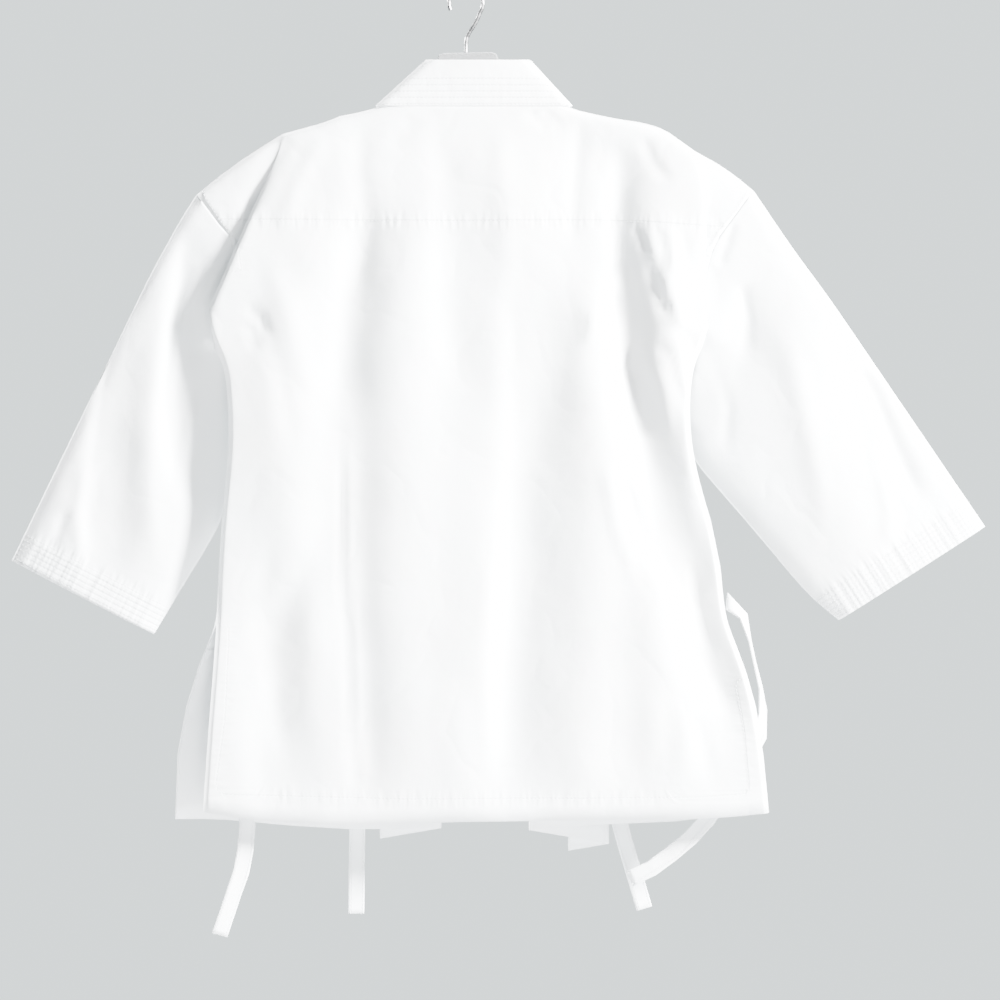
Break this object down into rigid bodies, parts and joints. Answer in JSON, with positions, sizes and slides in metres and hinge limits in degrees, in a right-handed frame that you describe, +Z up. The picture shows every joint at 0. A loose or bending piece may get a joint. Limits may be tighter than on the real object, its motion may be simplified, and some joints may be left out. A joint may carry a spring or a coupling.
{
  "type": "karate gi jacket on a clothes hanger",
  "caption": "White canvas karate gi jacket, open at the front with its ties undone, hung flat on a clear clothes hanger with a steel hook.",
  "frame": {"origin": "the point under the hook's bend where it hangs on a rail", "axes": "+Z up, -Y out of the front of the jacket, +X to the wearer's left; the jacket hangs flat in the XZ plane"},
  "size_m": [0.975, 0.0854, 0.9553],
  "materials": {
    "white_canvas": "matte cotton canvas",
    "clear_plastic": "clear and glossy",
    "bright_steel": "bright plated wire"
  },
  "bodies": {
    "root": {"back": "white_canvas", "front_left": "white_canvas", "front_right": "white_canvas", "lapel_left": "white_canvas", "lapel_right": "white_canvas", "collar": "white_canvas", "sleeve_left": "white_canvas", "sleeve_right": "white_canvas", "tie_side_left": "white_canvas", "tie_side_right": "white_canvas", "tie_front_left": "white_canvas", "tie_front_right": "white_canvas", "hanger": "clear_plastic", "hook": "bright_steel"}
  },
  "joints": []
}
